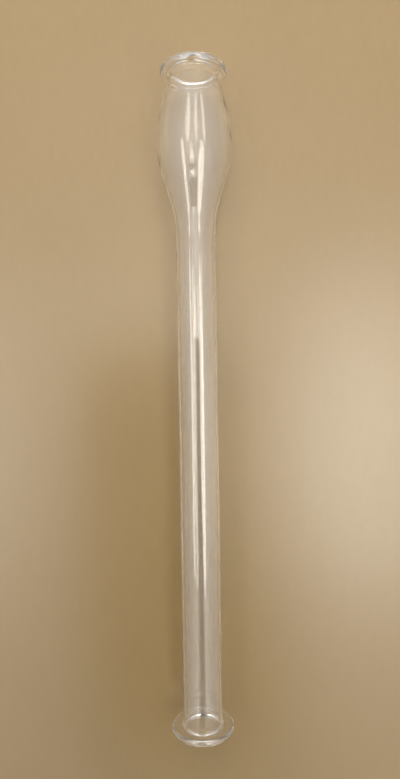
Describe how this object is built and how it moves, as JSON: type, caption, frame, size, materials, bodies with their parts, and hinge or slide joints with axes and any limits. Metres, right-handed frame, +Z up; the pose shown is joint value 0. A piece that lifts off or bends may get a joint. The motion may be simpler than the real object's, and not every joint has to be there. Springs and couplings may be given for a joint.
{
  "type": "glass condenser tube",
  "caption": "Long straight clear glass tube with an egg-shaped bulb near its wide mouth and a flat round-edged flange at each end, open right through.",
  "frame": {"origin": "on the ground under the middle of the tube's length, with the tube lying on its bulb", "axes": "+Y along the tube's axis towards the mouth beside the bulb, +Z up, +X across the tube"},
  "size_m": [0.0534, 0.468, 0.0533],
  "materials": {
    "clear_glass": "fire-polished clear borosilicate"
  },
  "bodies": {
    "root": {"mouth_flange": "clear_glass", "bulb": "clear_glass", "stem": "clear_glass", "foot_flange": "clear_glass"}
  },
  "joints": []
}
